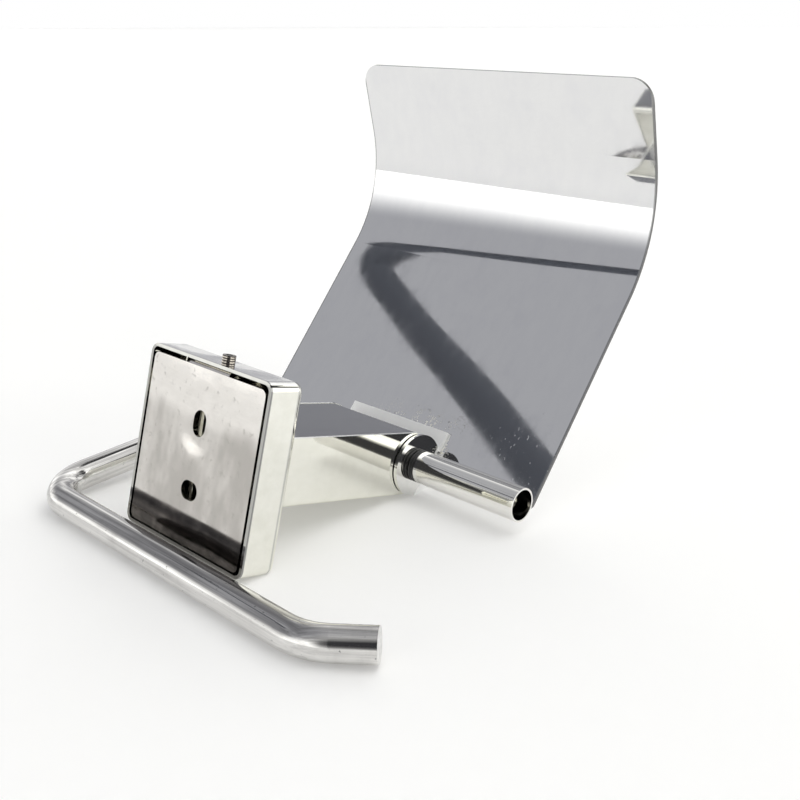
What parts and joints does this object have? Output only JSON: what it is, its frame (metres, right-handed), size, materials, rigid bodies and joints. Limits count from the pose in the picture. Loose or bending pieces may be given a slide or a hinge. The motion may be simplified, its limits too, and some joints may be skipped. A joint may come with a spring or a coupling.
{
  "type": "toilet paper holder",
  "caption": "Wall-mounted toilet paper holder in polished steel with a single arm, a swinging open-ended roll bar and a curved hinged cover sheet.",
  "frame": {"origin": "on the wall plane, on the centre line of the arm, midway between the two screw slots of the wall plate", "axes": "+X along the hinge axis towards the open end of the bar, +Y out from the wall along the arm, +Z towards the set screw side, which is usually turned down in service"},
  "size_m": [0.1474, 0.1352, 0.1657],
  "materials": {
    "polished_steel": "mirror polished stainless steel sheet",
    "sheet_steel": "mirror polished stainless steel sheet, lightly scratched",
    "plate_steel": "bright rolled stainless steel sheet",
    "bar_steel": "polished stainless steel tube with fine lengthwise streaks",
    "sleeve_steel": "mirror polished stainless steel tube",
    "bracket_steel": "bright stainless steel sheet with spot weld marks",
    "plain_steel": "plain stainless steel tube",
    "screw_steel": "plain steel screw",
    "ring_rubber": "black rubber"
  },
  "bodies": {
    "base": {"wall_plate": "plate_steel", "wall_cover": "polished_steel", "set_screw": "screw_steel", "arm_channel": "polished_steel", "arm_lid": "polished_steel", "pivot_sleeve": "plain_steel"},
    "bar": {"roll_bar": "bar_steel", "end_sleeve": "sleeve_steel", "bar_cap": "bar_steel", "grip_rings": "ring_rubber"},
    "cover": {"cover_sheet": "sheet_steel", "hinge_bracket": "bracket_steel"}
  },
  "joints": [
    {"name": "bar_swing", "type": "hinge", "parent": "base", "child": "bar", "pos_m": [0, 0.0742, 0], "axis": [1, 0, 0], "range_deg": [-120, 38]},
    {"name": "cover_swing", "type": "hinge", "parent": "base", "child": "cover", "pos_m": [0, 0.0742, 0], "axis": [1, 0, 0], "range_deg": [-54, 10]}
  ]
}
